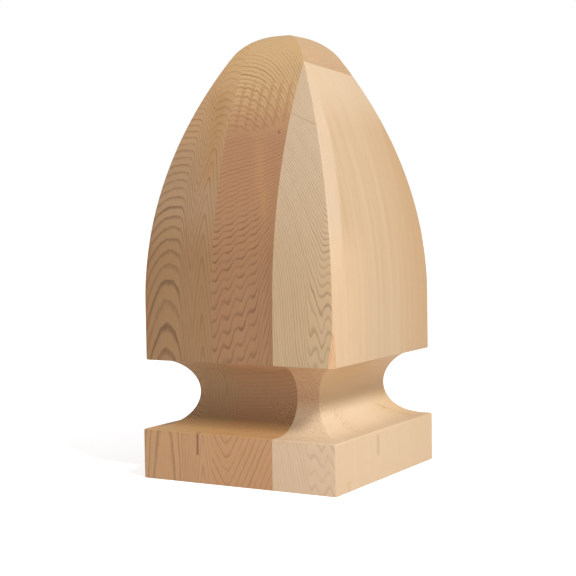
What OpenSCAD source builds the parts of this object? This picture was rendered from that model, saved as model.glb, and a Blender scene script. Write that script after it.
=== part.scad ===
// Gothic post finial: a square plinth, a cove neck and a four-sided pointed
// head, cut from one block of three boards glued face to face.
//
// The finial stands on the middle of its underside, +Z up. The boards lie side
// by side along X, and their joints run up the front (-Y) and the back (+Y). The
// glue lines are a little out of square with the sides that were cut later.

/* [Block] */
// Width of the square block, and of the plinth, across its flats
block_w = 140; // [120:1:180]
// Thickness of the middle board
middle_board_t = 44; // [32:0.5:50]
// Thickness of the right board (the left board makes up the rest)
right_board_t = 44; // [32:0.5:50]
// Turn of the glue lines about the axis, in degrees, away from the side faces
glue_turn = 2.6; // [0:0.1:4]
// Lean of the glue lines to the right, in degrees from upright
glue_lean = 0.3; // [0:0.1:2]

/* [Plinth] */
// Height of the square plinth
plinth_h = 31.75; // [15:0.25:60]

/* [Cove neck] */
// Radius of the half-round coves run across the four sides
cove_r = 22.25; // [14:0.25:28]
// Depth of the front cove, from the face of the plinth: it was cut the deepest
front_cove_depth = 29.5; // [18:0.25:40]
// Depth of the back cove, which was cut the least
back_cove_depth = 20; // [18:0.25:40]
// Depth of the left cove
left_cove_depth = 24.75; // [18:0.25:40]
// Depth of the right cove
right_cove_depth = 26.75; // [18:0.25:40]

/* [Head] */
// Width of the head across its flats
head_w = 136.5; // [110:0.5:170]
// Height of the upright shoulder below the arch
shoulder_h = 36.25; // [10:0.25:80]
// Radius of the arch on each side, struck level with the top of the shoulder
arch_r = 311; // [200:1:500]
// Radius that rounds off the point of the arch
tip_r = 30; // [10:0.5:45]

/* [Fixing] */
// Diameter of the pilot hole for a hanger bolt, up the middle of the underside
pilot_d = 8; // [5:0.5:13]
// Depth of the pilot hole
pilot_depth = 60; // [30:1:90]

/* [Hidden] */
$fn = 256;

// Distance by which a cutter stands clear of what it cuts
clear = 5;

// Where the two glue lines meet the front edge of the underside
right_joint_x = block_w / 2 - right_board_t;
left_joint_x = right_joint_x - middle_board_t;

// Heights of the coves' centres, the head's underside and the arch's springing
cove_z = plinth_h + cove_r;
head_z = plinth_h + 2 * cove_r;
arch_z = head_z + shoulder_h;

// Each side of the arch is struck from a centre beyond the far side of the
// head. The rounded point touches both arcs where their radii pass through its
// own centre.
arch_x = arch_r - head_w / 2;
tip_rise = sqrt(pow(arch_r - tip_r, 2) - pow(arch_x, 2));
tip_z = arch_z + tip_rise;
tip_start_z = arch_z + tip_rise * arch_r / (arch_r - tip_r);
total_h = tip_z + tip_r;

// Distance of a cove's centre from the axis, for its depth from the plinth's
// face: what a deeper cove leaves beside it is a flat ledge
function cove_centre(depth) = block_w / 2 - depth + cove_r;

// A rectangle standing on height z, centred on the axis
module centred_band(w, z, h) {
    translate([-w / 2, z]) square([w, h]);
}

// Side view of the neck: a band with a half-round cove out of either side. The
// band ends at the coves' centres, or at the head's faces where those are
// nearer.
module neck_outline(left_depth, right_depth) {
    left_end = min(cove_centre(left_depth), head_w / 2);
    right_end = min(cove_centre(right_depth), head_w / 2);
    difference() {
        translate([-left_end, plinth_h]) square([left_end + right_end, 2 * cove_r]);
        translate([-cove_centre(left_depth), cove_z]) circle(r = cove_r);
        translate([cove_centre(right_depth), cove_z]) circle(r = cove_r);
    }
}

// Side view of the pointed arch, up to where its point is rounded off
module arch_outline() {
    intersection() {
        centred_band(head_w, arch_z, tip_start_z - arch_z);
        translate([-arch_x, arch_z]) circle(r = arch_r);
        translate([arch_x, arch_z]) circle(r = arch_r);
    }
}

// Side view of the rounded point
module tip_outline() {
    intersection() {
        centred_band(2 * tip_r, tip_start_z, total_h - tip_start_z + clear);
        translate([0, tip_z]) circle(r = tip_r);
    }
}

// Side view of the whole finial
module side_outline(left_depth, right_depth) {
    centred_band(block_w, 0, plinth_h);
    neck_outline(left_depth, right_depth);
    centred_band(head_w, head_z, shoulder_h);
    arch_outline();
    tip_outline();
}

// A side view carried right through the block, front to back
module side_cut(left_depth, right_depth) {
    rotate([90, 0, 0]) linear_extrude(height = block_w + 2 * clear, center = true)
        side_outline(left_depth, right_depth);
}

// The finial before it is drilled. Cutting the block to its side view from the
// front and again from the right leaves the coves mitred at the corners, and
// the head with four curved faces that meet in hips.
module shaped_block() {
    intersection() {
        side_cut(left_cove_depth, right_cove_depth);
        rotate([0, 0, 90]) side_cut(front_cove_depth, back_cove_depth);
    }
}

module pilot_hole() {
    translate([0, 0, -clear]) cylinder(d = pilot_d, h = pilot_depth + clear);
}

module drilled_block() {
    difference() {
        shaped_block();
        pilot_hole();
    }
}

// All that lies to the left of a glue line, which meets the front edge of the
// underside at joint_x
module left_of(joint_x) {
    translate([joint_x, -block_w / 2, 0]) rotate([0, glue_lean, 0]) rotate([0, 0, -glue_turn])
        translate([-2 * block_w, -block_w, -block_w])
            cube([2 * block_w, 3 * block_w, total_h + 2 * block_w]);
}

module left_board() {
    color("#a5825e") intersection() {
        drilled_block();
        left_of(left_joint_x);
    }
}

module middle_board() {
    color("#b48a66") difference() {
        intersection() {
            drilled_block();
            left_of(right_joint_x);
        }
        left_of(left_joint_x);
    }
}

module right_board() {
    color("#dfc49e") difference() {
        drilled_block();
        left_of(right_joint_x);
    }
}

left_board();
middle_board();
right_board();
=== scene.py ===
"""Looks of the gothic post finial: three cedar boards glued face to face, cut to a
plinth, a cove neck and a four-sided pointed head, on a pale floor under soft light."""

import math

import bpy
from mathutils import Matrix, Vector


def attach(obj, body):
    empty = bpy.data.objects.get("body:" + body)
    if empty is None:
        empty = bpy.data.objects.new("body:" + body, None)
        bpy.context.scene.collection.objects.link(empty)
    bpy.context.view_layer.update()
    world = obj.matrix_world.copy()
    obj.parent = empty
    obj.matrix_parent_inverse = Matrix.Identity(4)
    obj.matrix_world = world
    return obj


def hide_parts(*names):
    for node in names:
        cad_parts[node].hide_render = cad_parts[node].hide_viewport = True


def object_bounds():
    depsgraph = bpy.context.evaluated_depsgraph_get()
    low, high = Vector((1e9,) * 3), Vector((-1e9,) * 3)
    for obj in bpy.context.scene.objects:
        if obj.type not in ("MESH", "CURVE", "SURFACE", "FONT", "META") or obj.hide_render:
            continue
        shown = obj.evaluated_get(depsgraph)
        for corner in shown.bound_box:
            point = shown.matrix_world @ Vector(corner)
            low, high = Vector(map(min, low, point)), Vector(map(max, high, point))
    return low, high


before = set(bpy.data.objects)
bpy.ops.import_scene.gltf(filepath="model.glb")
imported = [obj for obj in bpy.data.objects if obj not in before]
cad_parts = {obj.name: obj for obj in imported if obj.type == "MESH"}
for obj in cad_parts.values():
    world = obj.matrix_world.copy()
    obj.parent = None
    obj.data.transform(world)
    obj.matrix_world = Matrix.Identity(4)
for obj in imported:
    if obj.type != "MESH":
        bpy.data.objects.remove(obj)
cad_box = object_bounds()

MM = 0.001

# ---------------------------------------------------------------- sizes, in mm

TOTAL_H = cad_box[1][2] / MM
BLOCK_HALF = cad_box[1][0] / MM

# Where the two glue lines meet the front edge of the underside, and how far they
# turn and lean from the side faces
LEFT_JOINT, RIGHT_JOINT = -18.0, 26.0
GLUE_TURN, GLUE_LEAN = math.radians(2.6), math.radians(0.3)

PLINTH_H = 31.75
COVE_R = 22.25
# Distances of the coves' centres from the axis: left, right, front, back
COVES = (67.5, 65.5, 62.75, 72.25)
HEAD_HALF = 68.25
HEAD_Z = PLINTH_H + 2 * COVE_R
ARCH_Z = HEAD_Z + 36.25
ARCH_R = 311.0
ARCH_X = ARCH_R - HEAD_HALF
TIP_R = 30.0
TIP_RISE = math.sqrt((ARCH_R - TIP_R) ** 2 - ARCH_X**2)
TIP_Z = ARCH_Z + TIP_RISE
TIP_ANGLE = math.asin(TIP_RISE / (ARCH_R - TIP_R))

# How much sandpaper took off the long corners and off the level edges
EASE = 1.1
EDGE = 0.8
# A rounding sets a square corner back by this share of its radius
SET_BACK = 0.41

# The hole goes up from the underside, and its cutter starts a little below it
PILOT_D = 8.0
PILOT_DEPTH = 60.0
PILOT_START = -10.0
PILOT_FACES = 64

# The sliver that broke off under the head, and how far its cutter stands over it
CHIP_RISE = 22.0
CHIP_DEPTH = 2.3
CHIP_OVER = 4.0
CHIP_CUTTER = 60.0

# How finely the outline's curves are stepped
COVE_STEPS = 40
ARCH_STEPS = 48
TIP_STEPS = 20
EASE_STEPS = 5
EDGE_TURNS = (22.5, 45.0, 67.5, 90.0)
# Heights of two level rows of faces on the head's upright shoulder
SHOULDER_ROWS = (12.0, 24.0)
# A step too small to see, that keeps two rows of faces apart
NUDGE = 0.001
SMOOTH_ANGLE = math.radians(35)

# ---------------------------------------------------------------- floor, light, camera

# Places and sizes of the floor and the lamp are in metres, those of the camera in mm
FLOOR_SIZE = 12.0
FLOOR_GREY = 0.70
FLOOR_ROUGHNESS = 0.9
# The floor's own glow near the finial and far from it, and the distances in mm
# between which it changes
FLOOR_GLOW = (0.55, 0.64)
GLOW_TURN = (400, 1600)

# How strong the light of the room is from eye level and from straight above, the
# heights between which it changes, and the white of the wall
ROOM_LIGHT = (0.635, 0.67)
ROOM_TURN = (-0.1, 1.0)
WALL = 1.0

KEY_PLACE = (1.14, -0.535, 1.43)
KEY_AIM = (0, 0, 0.12)
KEY_SIZE = 0.40
KEY_POWER = 27.5

CAMERA_AZIMUTH = math.radians(30.008)
CAMERA_HEIGHT = math.radians(3.416)
CAMERA_ROLL = math.radians(-0.850)
CAMERA_AWAY = 908.61
# The point it looks at: how far right of the axis, and how high
AIM_RIGHT, AIM_UP = -1.34, 119.55
# Focal length, and width of the sensor behind the lens
LENS = 86.289
LENS_WIDTH = 36.0

# ---------------------------------------------------------------- growth rings

# A ring's early wood darkens by this much, its late line is darkest in this part of
# the ring, and the weakest line has this share of the strongest one's strength
EARLY_TONE = 0.16
LATE_LINE = (0.86, 0.91)
LEAST_LATE = 0.42
# Relief of the grain, in metres, and how much of it shows
RELIEF = 0.0004
RELIEF_SHARE = 0.35
# Bare sanded wood has little shine
SHINE = 0.28


# ---------------------------------------------------------------- shader maths


class Graph:
    """The nodes of one shader."""

    def __init__(self, tree):
        self.tree = tree

    def node(self, kind, settings=None, inputs=None, output=0):
        """A new node of a kind, with its settings and its sockets' values or links."""
        made = self.tree.nodes.new(kind)
        for name, value in (settings or {}).items():
            setattr(made, name, value)
        self.feed(made, inputs or {})
        return Value(self, made.outputs[output])

    def feed(self, node, inputs):
        """Give a node's sockets their values or links."""
        for name, value in inputs.items():
            if isinstance(value, Value):
                self.tree.links.new(value.socket, node.inputs[name])
            else:
                node.inputs[name].default_value = value


class Value:
    """A shader socket that Python expressions can use."""

    def __init__(self, graph, socket):
        self.graph = graph
        self.socket = socket

    def math(self, operation, *others):
        inputs = dict(enumerate((self, *others)))
        return self.graph.node("ShaderNodeMath", {"operation": operation}, inputs)

    def __add__(self, other):
        return self.math("ADD", other)

    __radd__ = __add__

    def __mul__(self, other):
        return self.math("MULTIPLY", other)

    __rmul__ = __mul__

    def __sub__(self, other):
        return self.math("SUBTRACT", other)

    def __rsub__(self, other):
        return self * -1.0 + other

    def __truediv__(self, other):
        return self.math("DIVIDE", other)

    def __neg__(self):
        return self * -1.0

    def parts(self):
        """The three numbers of a vector."""
        split = self.graph.node("ShaderNodeSeparateXYZ", None, {0: self})
        return [Value(self.graph, socket) for socket in split.socket.node.outputs]

    def over(self, limit):
        """How far it is over a limit, and 0 under it."""
        return (self - limit).math("MAXIMUM", 0.0)

    def rise(self, low, high):
        """0 below low, 1 above high, smooth between."""
        settings = {"interpolation_type": "SMOOTHSTEP"}
        inputs = {"Value": self, "From Min": low, "From Max": high}
        return self.graph.node("ShaderNodeMapRange", settings, inputs)

    def band(self, low, high, soft):
        """1 between low and high, and 0 further than soft outside them."""
        return self.rise(low - soft, low) * (1.0 - self.rise(high, high + soft))

    def hump(self, centre, width):
        """A bell of height 1 about a centre."""
        off = (self - centre) / width
        return (off * off * -1.0).math("EXPONENT")

    def wave(self, pitch):
        """A wave from -1 to 1, with a crest at 0."""
        return (self * (2 * math.pi / pitch)).math("COSINE")

    # The Mix node has a pair of sockets for each kind of data, all named A and B, so
    # they go by their order
    def mix(self, colour_a, colour_b):
        """From colour_a, where self is 0, to colour_b, where it is 1."""
        settings = {"data_type": "RGBA", "clamp_factor": True}
        return self.graph.node("ShaderNodeMix", settings, {0: self, 6: colour_a, 7: colour_b}, 2)

    def blend(self, number_a, number_b):
        """The same for two numbers."""
        settings = {"data_type": "FLOAT"}
        return self.graph.node("ShaderNodeMix", settings, {0: self, 2: number_a, 3: number_b})

    def scaled(self, *places):
        """The number, times a factor in each place: pairs of a mask and its factor."""
        made = self
        for mask, factor in places:
            made = made * mask.blend(1.0, factor)
        return made

    def tinted(self, *tints):
        """The colour with others laid over it in order: pairs of how much and what."""
        made = self
        for amount, colour in tints:
            made = amount.mix(made, colour)
        return made


def rgb(red, green, blue):
    """A colour given as a screen shows it, 0 to 255."""

    def linear(level):
        level /= 255.0
        return level / 12.92 if level <= 0.04045 else ((level + 0.055) / 1.055) ** 2.4

    return (linear(red), linear(green), linear(blue), 1.0)


def grey(level):
    """A grey given as its share of white light."""
    return (level, level, level, 1.0)


def distance(x_off, y_off):
    """How far apart two places are, from their offsets along two axes."""
    return (x_off * x_off + y_off * y_off).math("SQRT")


class Finish(Graph):
    """A material, and the place in mm of each of its points."""

    def __init__(self, name):
        self.material = bpy.data.materials.new(name)
        self.material.use_nodes = True
        super().__init__(self.material.node_tree)
        self.shader = self.tree.nodes["Principled BSDF"]
        place = self.node("ShaderNodeTexCoord", output="Object")
        settings = {"operation": "SCALE"}
        self.place = self.node("ShaderNodeVectorMath", settings, {0: place, "Scale": 1 / MM})
        self.x, self.y, self.z = self.place.parts()


class Wood(Finish):
    """The wood of one board."""

    def __init__(self, name):
        super().__init__(name)
        normal = self.node("ShaderNodeTexCoord", output="Normal")
        self.faces_right, _, self.faces_up = normal.parts()
        # where the plinth and the coves have a colour and rings of their own
        z = self.z
        self.in_plinth = 1.0 - z.rise(PLINTH_H + 0.25, PLINTH_H + 5.25)
        self.in_plinth_rings = 1.0 - z.rise(PLINTH_H - 3.75, PLINTH_H + 4.25)
        self.in_cove = z.band(PLINTH_H + 2.25, HEAD_Z - 3.25, 2.5)

    def ledge_painted_light(self):
        """The flat ledges on top of the plinth, and the foot of the coves, which face up and are
        given painted light.
        """
        return self.faces_up.rise(0.3, 0.8) * self.z.band(PLINTH_H - 0.75, PLINTH_H + 4.25, 3)

    def under_head(self):
        """The top of the coves, which faces down."""
        return (-self.faces_up).rise(0.7, 0.98)

    def noise(self, size, seed, detail=2.0):
        """Noise with features of a size (x, y, z) in mm, about 0 and from -1 to 1."""
        start = (seed * 7.3, seed * 3.1, seed * 5.7)
        inputs = {"Vector": self.place, "Location": start, "Scale": tuple(1 / s for s in size)}
        at = self.node("ShaderNodeMapping", {"vector_type": "POINT"}, inputs)
        inputs = {"Vector": at, "Scale": 1.0, "Detail": detail}
        return (self.node("ShaderNodeTexNoise", {"noise_dimensions": "3D"}, inputs) - 0.5) * 2.0

    def cloud(self, size, seed):
        """Slow changes over a board, from 0 to 1."""
        return self.noise(size, seed) * 0.5 + 0.5

    def ring_tone(self, rings, seed, late_from):
        """How dark a growth ring is: soft early wood that darkens to a thin late line,
        which is stronger in some rings than in others and fades in places."""
        number = rings.math("FLOOR")
        part = rings.math("FRACT")
        early = part * part * EARLY_TONE
        late = part.rise(late_from, LATE_LINE[0]) * (1.0 - part.rise(LATE_LINE[1], 1.0))
        settings = {"noise_dimensions": "1D"}
        chance = self.node("ShaderNodeTexWhiteNoise", settings, {"W": number + seed * 17.0})
        strength = LEAST_LATE + chance * (1.0 - LEAST_LATE)
        fade = self.noise((6, 6, 9), seed + 20) * 0.45 + 0.9
        return early + late * strength * fade

    def finish(self, colour, roughness, height):
        """Join the colour, roughness and relief to the shader."""
        inputs = {"Strength": RELIEF_SHARE, "Distance": RELIEF, "Height": height}
        relief = self.node("ShaderNodeBump", None, inputs)
        inputs = {"Base Color": colour, "Roughness": roughness, "Normal": relief}
        self.feed(self.shader, {**inputs, "Specular IOR Level": SHINE})
        return self.material


# ---------------------------------------------------------------- the boards' wood

# Places are in mm from the middle of the underside: x to the right, y to the back and
# z up. Sizes of noise are in mm too, and the number after them picks the pattern.


def brown_cedar():
    """Left board: flat-sawn brown cedar, whose heart lay just in front of its face."""
    heart_x, heart_y = -50.2, -98.7
    seam_x, flame_x = -33.0, -24.5
    ring_width = 2.073
    wood = Wood("brown_cedar")
    x, y, z = wood.x, wood.y, wood.z
    sway = wood.noise((14, 14, 60), 1) * 0.19 + wood.noise((3, 3, 12), 2, 4.0) * 0.15
    # round the heart, which leans to the front on its way up, the rings draw arches;
    # below the middle of the neck it leans less
    up = z * 0.3 + z.over(52.0) * 0.7 - 75.6
    out = distance(x - heart_x - up * 0.054, y - heart_y + up * 0.132)
    # these crowd together at a seam
    seam = x - seam_x - z.rise(170, 250) * 5.0
    arches = out / ring_width + out * out * 0.00015 - 13.1 + seam.rise(-9.0, 0.0) * 3.5
    # beyond it the rings stand on edge in long flames, which turn to round arches
    # near the point
    flame = x - flame_x - z.over(180.0) * 0.05
    bend = z.rise(208, 240)
    flame = (flame * flame + bend * 34.0 + 1.5).math("SQRT") * bend.blend(0.42, 0.20)
    flame = flame + z * 0.05 + y * 0.16 + z.over(208.0) * 0.09
    rings = seam.rise(0.0, 1.6).blend(arches, flame) + sway

    # a feathered plume high up, a dark line in the plinth's face, a streak low on the
    # head's face, and the head's left corner, which is darker
    plume = x.hump(flame_x, 7.0) * z.band(196, 240, 14)
    scar = x.hump(-28.5, 0.9) * z.band(19, 31, 2) * y.math("LESS_THAN", -66.0)
    streak = x.hump(-26.0, 3.2) * z.band(96, 140, 20) * y.band(-80, -66, 5)
    corner = x.hump(-67.0, 2.5) * z.rise(75, 90) * (-y).rise(60, 67)
    ledge = wood.ledge_painted_light()

    # the rings are faint but in the face of the head, and strongest in the plume
    tone = wood.ring_tone(rings, 1, 0.54).scaled(
        (seam.rise(-4.0, 2.0), 0.55),
        (z.rise(160, 215), 0.60),
        (wood.in_cove, 0.65),
        (plume, 1.7),
        (y.rise(20, 60), 0.6),
        (ledge, 0.4),
        (wood.in_plinth_rings, 0.65),
    )
    fibre = wood.noise((0.35, 0.35, 16), 3, 3.0)
    fleck = wood.noise((1.1, 1.1, 9), 31)
    grain = tone * 0.66 + fibre * 0.11 + fleck * 0.13
    colour = wood.cloud((22, 22, 90), 4).mix(rgb(151, 115, 78), rgb(138, 105, 71)).tinted(
        # the head grows paler on the way up
        (z.rise(140, 180) * 0.8, rgb(158, 127, 96)),
        (z.rise(190, 235), rgb(169, 133, 95)),
        (wood.in_cove * 0.9, rgb(151, 117, 82)),
        (wood.in_plinth, rgb(174, 134, 95)),
        # painted light: the ledge, which faces up to the lamp, lighter and more orange
        (ledge * 0.6, rgb(190, 148, 94)),
        # marks, and lighter towards the point
        (scar * 0.8, rgb(112, 70, 46)),
        (streak * 0.4, rgb(146, 104, 66)),
        (plume * 0.7, rgb(158, 119, 76)),
        (corner * 0.8, rgb(144, 100, 62)),
        (z.rise(230, 275) * 0.8, rgb(184, 149, 103)),
        # late wood, and the light that the ledge throws back under the head
        (grain, rgb(88, 60, 40)),
        (wood.under_head() * 0.6, rgb(160, 122, 88)),
    )
    return wood.finish(colour, 0.58 + tone * 0.06 + fibre * 0.05, fibre * 0.5 - tone * 0.5)


def pink_cedar():
    """Middle board: pinkish cedar with fluted rings, that slant up to the right."""
    flute_pitch, bar_pitch = 9.6, 6.8
    fault_z = 218.8
    wood = Wood("pink_cedar")
    x, y, z = wood.x, wood.y, wood.z
    deep = y + HEAD_HALF
    sway = wood.noise((16, 16, 50), 5) * 0.25 + wood.noise((3, 3, 9), 6, 4.0) * 0.20
    # the rings' lowest place wanders to the left on the way up, and they climb from
    # it to both sides, steeply at the right glue line
    off = x + 22.0 - (z * -0.025).math("EXPONENT") * 15.0
    lean = off.over(0.0) * 0.13 + (-off).over(0.0) * 0.45
    steep = off.over(28.0) / 20.0
    steep = steep * steep * steep * z.rise(130, 200).blend(4.0, 1.2)
    lean = (lean + steep) * (1.0 - deep.rise(5, 20) * z.rise(190, 216).blend(0.8, 0.4))
    # in the plinth they open in a fan
    fan = distance(x + 7.0, 3.0) * 0.24
    lean = z.rise(32, 46).blend(fan, lean)
    # flutes run up and down the face
    waver = wood.noise((7, 7, 16), 14) * 2.445
    wave = (x + 14.0 + waver).wave(flute_pitch)
    flute = wave * -0.29 * (1.0 - deep.rise(1.5, 16) * 0.85) * z.rise(33, 70)
    flute = flute * z.rise(115, 165).blend(1.0, 0.6)
    # they lie nearly level in the coves, and stand on edge in the head
    in_head = z.rise(HEAD_Z - 4.25, HEAD_Z + 1.75)
    level = (z - (PLINTH_H + COVE_R)) * deep.rise(3, 18) * 0.30
    low = deep * in_head.blend(0.12, 0.88) + z * 0.114 - lean - flute
    low = low + level * (1.0 - in_head)
    # above a fault near the point they bend down to the right, and their flutes are
    # closer
    bars = (x + 3.0).wave(bar_pitch)
    fluted_top = z.band(224, 246, 10)
    top = deep * 0.52 + z * 0.10 + x * 0.17 + x * x * 0.0065 + bars * fluted_top * 0.15 + 6.0
    fault = z - fault_z - x.rise(8, 27) * 5.0
    rings = fault.rise(-1.5, 1.5).blend(low, top) + sway

    # there, bars and every second ring cross in a soft lattice
    lattice = 1.0 - (1.0 - bars.rise(0.0, 0.9)) * (1.0 - top.wave(2.0).rise(0.0, 0.9) * 0.8)
    lattice = lattice * fluted_top * fault.rise(0, 3)
    # a warm streak, and a small red speck above it
    glow = (x + (z - 190.0) * 0.22).hump(14.0, 3.5) * z.band(180, 204, 22)
    speck = 1.0 - distance(x - 22.3, z - 218.9).rise(0.6, 1.1)
    speck = speck * (1.0 - deep.rise(30, 40))
    # torn grain at the right end of the front cove's foot
    torn = wood.noise((1.6, 1.6, 1.2), 52, 3.0)
    beside = z.band(32, 48, 6) * (x + (z - 32.0) * 0.8).rise(14, 26) * (-y).rise(0, 20)
    ledge = wood.ledge_painted_light()

    tone = wood.ring_tone(-rings, 2, 0.60) * (0.76 + wave * 0.22 * z.band(80, 170, 30))
    tone = tone.scaled(
        (wood.in_cove, 0.42),
        (wood.in_plinth_rings, 0.60),
        (ledge, 0.4),
        (z.rise(258, 276), 0.3),
        (z.band(244, 258, 8), 1.2),
        (fluted_top, 0.6),
        (fault.hump(0.0, 2.4), 0.4),
        (z.band(172, 212, 16), 0.72),
    )
    fibre = wood.noise((0.35, 0.35, 14), 7, 3.0)
    fleck = wood.noise((1.1, 1.1, 8), 32)
    grain = tone * 0.74 + fibre * 0.11 + fleck * 0.13
    colour = wood.cloud((20, 20, 80), 8).mix(rgb(154, 114, 80), rgb(142, 103, 71)).tinted(
        (wood.in_cove * 0.9, rgb(153, 114, 80)),
        # the head grows paler on the way up
        (z.rise(130, 190) * 0.6, rgb(163, 121, 87)),
        (z.rise(212, 250) * 0.9, rgb(185, 152, 108)),
        (glow * 0.28, rgb(180, 134, 86)),
        # the right side of the point
        (wood.faces_right.rise(0.3, 0.7) * 0.6, rgb(172, 142, 112)),
        (wood.in_plinth, rgb(173, 131, 92)),
        (lattice * 0.44, rgb(150, 104, 70)),
        # painted light: the ledge, which faces up to the lamp, lighter and more orange
        (ledge * 0.6, rgb(190, 146, 94)),
        # marks
        (torn.rise(0.0, 0.45) * beside * 0.40, rgb(106, 70, 44)),
        ((-torn).rise(0.0, 0.5) * beside * 0.35, rgb(196, 152, 110)),
        (speck * 0.6, rgb(112, 56, 40)),
        # late wood, and the light that the ledge throws back under the head
        (grain, rgb(94, 60, 40)),
        (wood.under_head() * 0.75, rgb(176, 132, 96)),
    )
    return wood.finish(colour, 0.58 + tone * 0.06 + fibre * 0.05, fibre * 0.5 - tone * 0.5)


def pale_cedar():
    """Right board: pale sapwood, straight-grained on its broad right side."""
    flute_pitch = 9.4
    wood = Wood("pale_cedar")
    x, y, z = wood.x, wood.y, wood.z
    deep = y + HEAD_HALF
    sway = wood.noise((16, 16, 60), 9) * 0.25 + wood.noise((3, 3, 10), 10, 4.0) * 0.18
    # the rings stand on edge at the left, and turn over in fluted waves at the right
    off = (x - 59.0 - (z.math("MAXIMUM", 85.0) - 112.0) * 0.13).math("MINIMUM", 0.0)
    bowl = distance(off, 7.746) * 0.60
    waver = wood.noise((8, 8, 20), 15) * 1.945
    crest = (x - 60.5 + waver).wave(flute_pitch)
    flute = crest * (0.32 - z.rise(40, 80) * 0.08 + z.band(84, 104, 10) * 0.26)
    flute = flute * (x - z * 0.05).rise(36, 50)
    rings = bowl - flute - deep * 1.4 - z * 0.105 + sway
    tone = wood.ring_tone(rings, 3, 0.58)

    # all but its right side, with a thin slanting vein near the point
    vein = (z + x * 0.418).hump(242.4, 0.5) * z.band(220, 232, 4)
    front = wood.cloud((24, 24, 110), 13).mix(rgb(184, 157, 123), rgb(174, 147, 112)).tinted(
        (z.rise(110, 220) * 0.8, rgb(187, 164, 137)),
        (wood.in_cove, rgb(182, 143, 108)),
        (vein * 0.35, rgb(150, 118, 84)),
        (wood.in_plinth, rgb(193, 166, 137)),
    )
    # the broad right side: long streaks, a painted highlight in a pale lens at its front, where
    # the rounded-over face near the corner turns to the lamp, and a warmer painted highlight
    # below that
    lens = (1.0 - (y + 60.0 - (z - 117.0) * 0.235).rise(-1.5, 3.5)) * z.band(150, 222, 42)
    painted_warm_highlight = (1.0 - y.rise(-60, 0)) * z.band(80, 140, 30)
    side = wood.cloud((60, 5, 160), 12).mix(rgb(188, 163, 132), rgb(171, 141, 106)).tinted(
        (y.rise(0, 66) * 0.7, rgb(171, 135, 94)),
        # painted highlight: the pale lens where the face near the corner turns to the lamp
        (lens * 0.40, rgb(203, 181, 157)),
        (z.rise(215, 255) * 0.6, rgb(196, 172, 143)),
        # painted highlight: warmer, low at the front of the side
        (painted_warm_highlight * 0.6, rgb(198, 166, 130)),
        (wood.in_cove * 0.9, rgb(189, 153, 110)),
        (wood.in_plinth * 0.75, rgb(195, 168, 136)),
    )
    on_side = wood.faces_right.rise(0.2, 0.6)
    # the foot of the coves, which faces up, made lighter: painted light from above
    upward_painted_light = wood.faces_up.rise(-0.05, 0.6) * z.band(33, 62, 4)
    upward_painted_light_colour = y.rise(0, 60).mix(rgb(212, 186, 154), rgb(202, 171, 131))

    # scuffs: two at the right cove's foot, one low on the plinth's right side, and one
    # on its front edge
    worn = y.hump(-23.0, 6.0) * z.band(34, 45, 3)
    worn = worn + (y + (z - 32.0) * 2.2).hump(52.0, 4.0) * z.band(33, 41, 2) * 1.3
    worn = worn + y.hump(-53.8, 3.0) * z.band(1, 6, 2) * 1.4
    worn = worn * x.rise(40, 44) + x.hump(34.0, 9.0) * z.band(30, 33, 2) * (-y).rise(62, 66)
    worn = worn * wood.noise((1.7, 1.7, 1.4), 42, 3.0).rise(-0.1, 0.35)
    # torn grain in the front cove, and where it meets the right one
    torn = wood.noise((1.2, 1.2, 1.0), 51, 3.0)
    beside = (x + y).hump(0, 9.0) + (1.0 - on_side) * 0.7
    beside = (beside * z.band(34, 72, 3)).math("MINIMUM", 1.0)
    # a nick in the plinth's right side
    nick = (y + sway * 3.0).hump(-13.6, 1.5) * z.band(18, 28, 3) * x.rise(69.3, 69.6)
    # the raw wood where the sliver broke off
    chip = wood.faces_right.band(0.6, 0.8, 0.06) * z.band(77, 97, 1) * x.rise(60, 62)
    chip = chip * wood.noise((0.7, 0.7, 7), 41).rise(-0.35, 0.35).blend(0.15, 0.75)

    strength = on_side.blend(0.57, 0.12).scaled(
        (wood.in_plinth_rings, 0.45),
        (wood.in_cove, 0.3),
        (z.rise(205, 235), 0.65),
    )
    fibre = wood.noise((0.4, 0.4, 18), 11, 3.0)
    fleck = wood.noise((1.2, 1.2, 9), 33)
    grain = tone * strength + fibre * 0.05 + fleck * on_side.blend(0.09, 0.07)
    colour = on_side.mix(front, side).tinted(
        # painted light on the coves' foot, which faces up
        (upward_painted_light, upward_painted_light_colour),
        # marks
        (worn * 0.42, rgb(172, 126, 78)),
        (torn.rise(-0.05, 0.45) * beside * 0.34, rgb(146, 98, 66)),
        ((-torn).rise(0.1, 0.45) * beside * 0.30, rgb(226, 196, 158)),
        (nick * 0.38, rgb(146, 108, 66)),
        (chip, rgb(186, 134, 88)),
        # late wood, and the light that the ledge throws back under the head
        (grain, rgb(122, 92, 64)),
        (wood.under_head() * 0.25, rgb(170, 130, 84)),
    )
    return wood.finish(colour, 0.56 + tone * 0.05 + fibre * 0.05, fibre * 0.5 - tone * 0.4)


# ---------------------------------------------------------------- shaping


def pick_only(piece):
    """Select one object and make it the active one."""
    bpy.ops.object.select_all(action="DESELECT")
    bpy.context.view_layer.objects.active = piece
    piece.select_set(True)


def edit(piece, mode="FACE"):
    """Open one piece in edit mode, with nothing selected."""
    pick_only(piece)
    bpy.ops.object.mode_set(mode="EDIT")
    bpy.ops.mesh.select_mode(type=mode)
    bpy.ops.mesh.select_all(action="DESELECT")


def leave():
    """Back to object mode."""
    bpy.ops.object.mode_set(mode="OBJECT")


def square(half, height):
    """A station that is equally far out on all four sides."""
    return (half, half, half, half, height)


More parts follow.
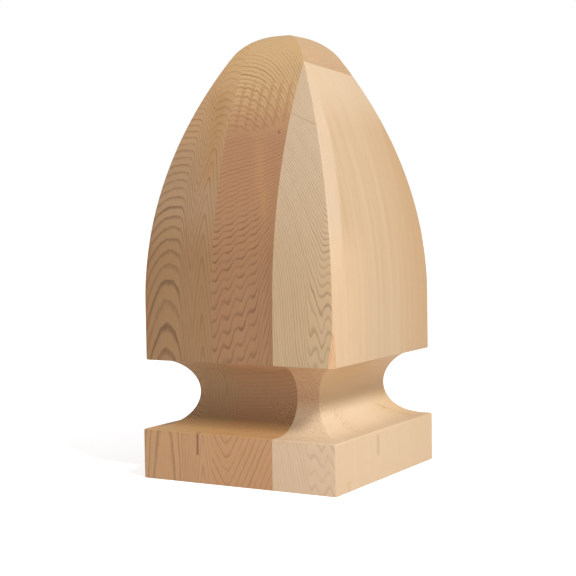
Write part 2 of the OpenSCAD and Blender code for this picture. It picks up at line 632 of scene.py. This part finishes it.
def side_stations():
    """The outline from the floor up: how far out are left, right, front, back; height."""
    turns = [math.radians(a) for a in EDGE_TURNS]
    # the plinth, with its lower and upper edges eased
    inner = BLOCK_HALF - EDGE
    rows = [square(inner, 0.0)]
    for a in turns:
        rows.append(square(inner + EDGE * math.sin(a), EDGE - EDGE * math.cos(a)))
    rows.append(square(BLOCK_HALF, PLINTH_H - EDGE))
    for a in turns:
        rows.append(square(inner + EDGE * math.cos(a), PLINTH_H - EDGE + EDGE * math.sin(a)))
    # the coves, half round
    inner = HEAD_HALF - EDGE
    for i in range(COVE_STEPS + 1):
        a = math.pi * i / COVE_STEPS
        halves = [min(centre - COVE_R * math.sin(a), inner) for centre in COVES]
        rows.append((*halves, PLINTH_H + COVE_R - COVE_R * math.cos(a)))
    # the head's lower edge, eased, and its upright shoulder
    rows.append(square(inner, HEAD_Z + NUDGE))
    for a in turns:
        rows.append(square(inner + EDGE * math.sin(a), HEAD_Z + EDGE - EDGE * math.cos(a)))
    for rise in SHOULDER_ROWS:
        rows.append(square(HEAD_HALF, HEAD_Z + rise))
    # the arch, then its rounded point, whose peak is added last
    for i in range(ARCH_STEPS + 1):
        a = TIP_ANGLE * i / ARCH_STEPS
        rows.append(square(ARCH_R * math.cos(a) - ARCH_X, ARCH_Z + ARCH_R * math.sin(a)))
    for i in range(1, TIP_STEPS):
        a = TIP_ANGLE + (math.pi / 2 - TIP_ANGLE) * i / TIP_STEPS
        rows.append(square(TIP_R * math.cos(a), TIP_Z + TIP_R * math.sin(a)))
    return rows


def shape_block():
    """The whole finial as one piece: a square drawn up through the outline."""
    rows = side_stations()
    left, right, front, back, height = rows[0]
    bpy.ops.object.select_all(action="DESELECT")
    bpy.ops.mesh.primitive_plane_add(size=2 * left * MM, location=(0, 0, height * MM))
    block = bpy.context.object
    bpy.ops.object.transform_apply(location=True, rotation=True, scale=True)
    edit(block, "VERT")
    bpy.ops.mesh.select_all(action="SELECT")
    bpy.ops.mesh.bevel(offset=EASE * MM, segments=EASE_STEPS, affect="VERTICES")
    bpy.ops.mesh.select_mode(type="FACE")
    bpy.ops.mesh.select_all(action="SELECT")
    for row in rows[1:]:
        next_left, next_right, next_front, next_back, next_height = row
        grow_x = (next_left + next_right) / (left + right)
        grow_y = (next_front + next_back) / (front + back)
        shift = (
            (next_right - next_left - (right - left) * grow_x) / 2 * MM,
            (next_back - next_front - (back - front) * grow_y) / 2 * MM,
            (next_height - height) * MM,
        )
        bpy.ops.mesh.extrude_region_move()
        bpy.ops.transform.resize(value=(grow_x, grow_y, 1), center_override=(0, 0, 0))
        bpy.ops.transform.translate(value=shift)
        left, right, front, back, height = row
    bpy.ops.mesh.extrude_region_move()
    bpy.ops.transform.translate(value=(0, 0, (TOTAL_H - height) * MM))
    bpy.ops.mesh.merge(type="CENTER")
    bpy.ops.mesh.select_all(action="SELECT")
    bpy.ops.mesh.normals_make_consistent(inside=False)
    leave()
    return block


def cut_away(piece, cutter):
    """Take a cutter's shape out of a piece, and throw the cutter away."""
    pick_only(piece)
    cut = piece.modifiers.new("cut", "BOOLEAN")
    cut.operation = "DIFFERENCE"
    cut.solver = "EXACT"
    cut.object = cutter
    bpy.ops.object.modifier_apply(modifier=cut.name)
    bpy.data.objects.remove(cutter)


def saw_board(block, name, from_x, to_x):
    """A copy of the block, kept between two glue lines (None is its own side)."""
    board = block.copy()
    board.data = block.data.copy()
    board.name = board.data.name = name
    bpy.context.collection.objects.link(board)
    across = Vector((math.cos(GLUE_TURN), -math.sin(GLUE_TURN), 0))
    across.rotate(Matrix.Rotation(GLUE_LEAN, 3, "Y"))
    edit(board)
    for at, way in ((from_x, -1), (to_x, 1)):
        if at is None:
            continue
        bpy.ops.mesh.select_all(action="SELECT")
        bpy.ops.mesh.bisect(
            plane_co=(at * MM, -BLOCK_HALF * MM, 0),
            plane_no=tuple(across * way),
            use_fill=True,
            clear_outer=True,
        )
    leave()
    return board


def drill_pilot(board):
    """The blind hole up the middle of the underside."""
    bpy.ops.object.select_all(action="DESELECT")
    bpy.ops.mesh.primitive_cylinder_add(
        vertices=PILOT_FACES,
        radius=PILOT_D / 2 * MM,
        depth=(PILOT_DEPTH - PILOT_START) * MM,
        location=(0, 0, (PILOT_DEPTH + PILOT_START) / 2 * MM),
    )
    cut_away(board, bpy.context.object)


def chip_corner(board):
    """The sliver that broke off the front right corner of the head's lower edge."""
    away = Vector((1, -1, 0)).normalized()
    along = Vector((1, 1, 0)).normalized()
    tilt = math.atan2(CHIP_DEPTH, CHIP_RISE)
    out = away * math.cos(tilt) - Vector((0, 0, 1)) * math.sin(tilt)
    up = out.cross(along)
    top = Vector((HEAD_HALF, -HEAD_HALF, HEAD_Z + CHIP_RISE)) - away * EASE * SET_BACK
    middle = top + out * (CHIP_CUTTER / 2) - up * (CHIP_CUTTER / 2 - CHIP_OVER)
    bpy.ops.object.select_all(action="DESELECT")
    bpy.ops.mesh.primitive_cube_add(
        size=CHIP_CUTTER * MM,
        location=tuple(c * MM for c in middle),
        rotation=Matrix((out, along, up)).transposed().to_euler(),
    )
    cut_away(board, bpy.context.object)


def dress(board, node, material):
    """Soft shading, finish and place in the frame for one board."""
    pick_only(board)
    bpy.ops.object.shade_smooth_by_angle(angle=SMOOTH_ANGLE)
    board.data.materials.clear()
    board.data.materials.append(material)
    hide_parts(node)
    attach(board, "root")


block = shape_block()
left_board = saw_board(block, "brown_board", None, LEFT_JOINT)
middle_board = saw_board(block, "pink_board", LEFT_JOINT, RIGHT_JOINT)
right_board = saw_board(block, "pale_board", RIGHT_JOINT, None)
bpy.data.objects.remove(block)
drill_pilot(middle_board)
chip_corner(right_board)
dress(left_board, "left_board", brown_cedar())
dress(middle_board, "middle_board", pink_cedar())
dress(right_board, "right_board", pale_cedar())


# ---------------------------------------------------------------- the studio


def pale_floor():
    """A wide floor with a glow of its own, stronger where it runs back to the wall."""
    bpy.ops.object.select_all(action="DESELECT")
    bpy.ops.mesh.primitive_plane_add(size=FLOOR_SIZE, location=(0, 0, 0))
    floor = bpy.context.object
    floor.name = "floor"
    paint = Finish("pale_floor")
    near, far = FLOOR_GLOW
    glow = distance(paint.x, paint.y).rise(*GLOW_TURN).mix(grey(near), grey(far))
    inputs = {"Base Color": grey(FLOOR_GREY), "Roughness": FLOOR_ROUGHNESS}
    paint.feed(paint.shader, {**inputs, "Emission Color": glow, "Emission Strength": 1.0})
    floor.data.materials.append(paint.material)


def key_light():
    """A soft round lamp, high up at the front right."""
    lamp = bpy.data.lights.new("key", "AREA")
    lamp.shape = "DISK"
    lamp.size = KEY_SIZE
    lamp.energy = KEY_POWER
    holder = bpy.data.objects.new("key", lamp)
    bpy.context.collection.objects.link(holder)
    holder.location = KEY_PLACE
    towards = Vector(KEY_AIM) - Vector(KEY_PLACE)
    holder.rotation_euler = towards.to_track_quat("-Z", "Y").to_euler()


def white_room():
    """Soft overhead light, which falls off towards eye level, before a white wall."""
    world = bpy.data.worlds.new("studio")
    world.use_nodes = True
    room = Graph(world.node_tree)
    height = room.node("ShaderNodeTexCoord", output="Generated").parts()[2]
    overhead = height.rise(*ROOM_TURN).blend(*ROOM_LIGHT)
    seen = room.node("ShaderNodeLightPath", output="Is Camera Ray")
    strength = seen.blend(overhead, WALL)
    room.feed(room.tree.nodes["Background"], {"Strength": strength, "Color": grey(1.0)})
    bpy.context.scene.world = world
    bpy.context.scene.view_settings.view_transform = "Standard"


def set_camera():
    """Level with the middle of the head, and 30 degrees to the right of the front."""
    front = Vector((math.sin(CAMERA_AZIMUTH), -math.cos(CAMERA_AZIMUTH), 0))
    back = front * math.cos(CAMERA_HEIGHT) + Vector((0, 0, math.sin(CAMERA_HEIGHT)))
    side = Vector((0, 0, 1)).cross(back).normalized()
    upward = back.cross(side)
    across = math.cos(CAMERA_ROLL) * side + math.sin(CAMERA_ROLL) * upward
    upright = math.cos(CAMERA_ROLL) * upward - math.sin(CAMERA_ROLL) * side
    aim = side * AIM_RIGHT + Vector((0, 0, AIM_UP))
    lens = bpy.data.cameras.new("camera")
    lens.sensor_width = LENS_WIDTH
    lens.lens = LENS
    camera = bpy.data.objects.new("camera", lens)
    bpy.context.collection.objects.link(camera)
    turn = Matrix((across, upright, back)).transposed()
    place = (aim + back * CAMERA_AWAY) * MM
    camera.matrix_world = Matrix.Translation(place) @ turn.to_4x4()
    bpy.context.scene.camera = camera


pale_floor()
key_light()
white_room()
set_camera()
